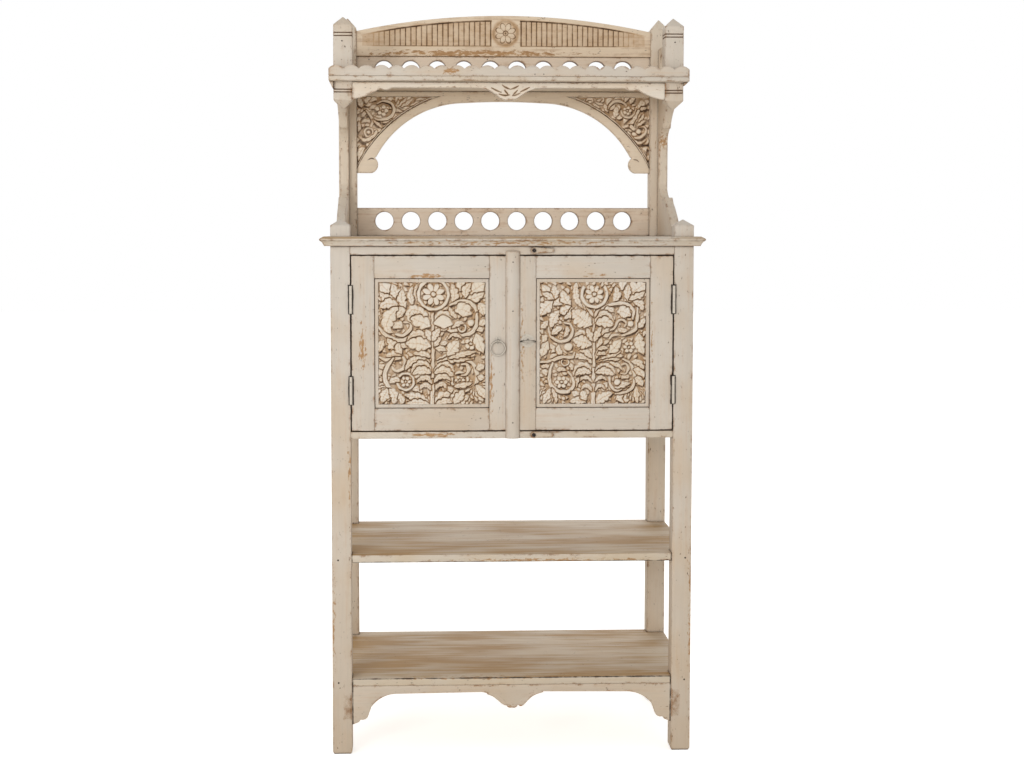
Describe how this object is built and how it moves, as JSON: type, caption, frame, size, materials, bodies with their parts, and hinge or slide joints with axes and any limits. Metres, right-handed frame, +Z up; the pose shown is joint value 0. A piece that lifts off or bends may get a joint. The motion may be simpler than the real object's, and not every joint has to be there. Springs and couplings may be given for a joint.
{
  "type": "credenza",
  "caption": "Tall carved and painted cabinet with open lower shelves, panelled double doors and a bracketed upper stage with an arched back.",
  "frame": {"origin": "on the floor under the middle of the whole piece, its lifted ring included", "axes": "+Z up, the doors face -Y, +X to the right of someone facing the doors"},
  "size_m": [0.888, 0.4818, 1.771],
  "materials": {
    "frame_paint": "worn cream paint",
    "shelf_paint": "worn cream paint over brown wood",
    "carved_paint": "worn cream paint, dark in the carving",
    "bare_wood": "thin worn paint",
    "iron": "dark with worn paint"
  },
  "bodies": {
    "carcass": {"front_left_leg": "frame_paint", "front_right_leg": "frame_paint", "rear_left_post": "frame_paint", "rear_right_post": "frame_paint", "bottom_shelf": "shelf_paint", "middle_shelf": "shelf_paint", "lower_apron": "frame_paint", "cabinet_floor": "shelf_paint", "top_rail": "frame_paint", "left_side_panel": "bare_wood", "right_side_panel": "bare_wood", "back_panel": "bare_wood", "cabinet_top": "shelf_paint", "left_upper_post": "frame_paint", "right_upper_post": "frame_paint", "left_bracket": "frame_paint", "right_bracket": "frame_paint", "upper_shelf": "shelf_paint", "scalloped_strip": "frame_paint", "left_moulding": "frame_paint", "right_moulding": "frame_paint", "upper_apron": "frame_paint", "arch_board": "carved_paint", "lower_gallery_rail": "frame_paint", "upper_gallery_rail": "frame_paint", "left_side_gallery": "frame_paint", "right_side_gallery": "frame_paint", "crest_board": "carved_paint", "upper_toggle_screw": "iron", "lower_toggle_screw": "iron", "left_upper_frame_leaf": "iron", "left_lower_frame_leaf": "iron", "right_upper_frame_leaf": "iron", "right_lower_frame_leaf": "iron"},
    "right_door": {"right_door_hinge_stile": "frame_paint", "right_door_lock_stile": "frame_paint", "right_door_top_rail": "frame_paint", "right_door_bottom_rail": "frame_paint", "right_door_panel": "carved_paint", "right_upper_door_leaf": "iron", "right_lower_door_leaf": "iron", "right_ring_plate": "iron", "meeting_bead": "frame_paint"},
    "left_door": {"left_door_hinge_stile": "frame_paint", "left_door_lock_stile": "frame_paint", "left_door_top_rail": "frame_paint", "left_door_bottom_rail": "frame_paint", "left_door_panel": "carved_paint", "left_upper_door_leaf": "iron", "left_lower_door_leaf": "iron", "left_ring_plate": "iron"},
    "left_ring": {"left_ring": "iron"},
    "right_ring": {"right_ring": "iron"},
    "upper_toggle": {"upper_toggle": "bare_wood"},
    "lower_toggle": {"lower_toggle": "bare_wood"}
  },
  "joints": [
    {"name": "right_door_hinge", "type": "hinge", "parent": "carcass", "child": "right_door", "pos_m": [0.3738, -0.20312, 0.9615], "axis": [0, 0, 1], "range_deg": [0, 165]},
    {"name": "left_door_hinge", "type": "hinge", "parent": "carcass", "child": "left_door", "pos_m": [-0.3738, -0.20312, 0.9615], "axis": [0, 0, 1], "range_deg": [-165, 0]},
    {"name": "left_ring_swing", "type": "hinge", "parent": "left_door", "child": "left_ring", "pos_m": [-0.0345, -0.20563, 0.971], "axis": [-1, 0, 0], "range_deg": [-5, 100]},
    {"name": "right_ring_swing", "type": "hinge", "parent": "right_door", "child": "right_ring", "pos_m": [0.0345, -0.20563, 0.971], "axis": [1, 0, 0], "range_deg": [-10, 95]},
    {"name": "upper_toggle_turn", "type": "hinge", "parent": "carcass", "child": "upper_toggle", "pos_m": [0.049, -0.20212, 1.18], "axis": [0, 1, 0], "range_deg": [0, 90]},
    {"name": "lower_toggle_turn", "type": "hinge", "parent": "carcass", "child": "lower_toggle", "pos_m": [0.049, -0.20212, 0.752], "axis": [0, -1, 0], "range_deg": [-90, 90]}
  ],
  "couplings": [
    {"joint": "left_door_hinge", "follows": "right_door_hinge", "ratio": -1}
  ]
}
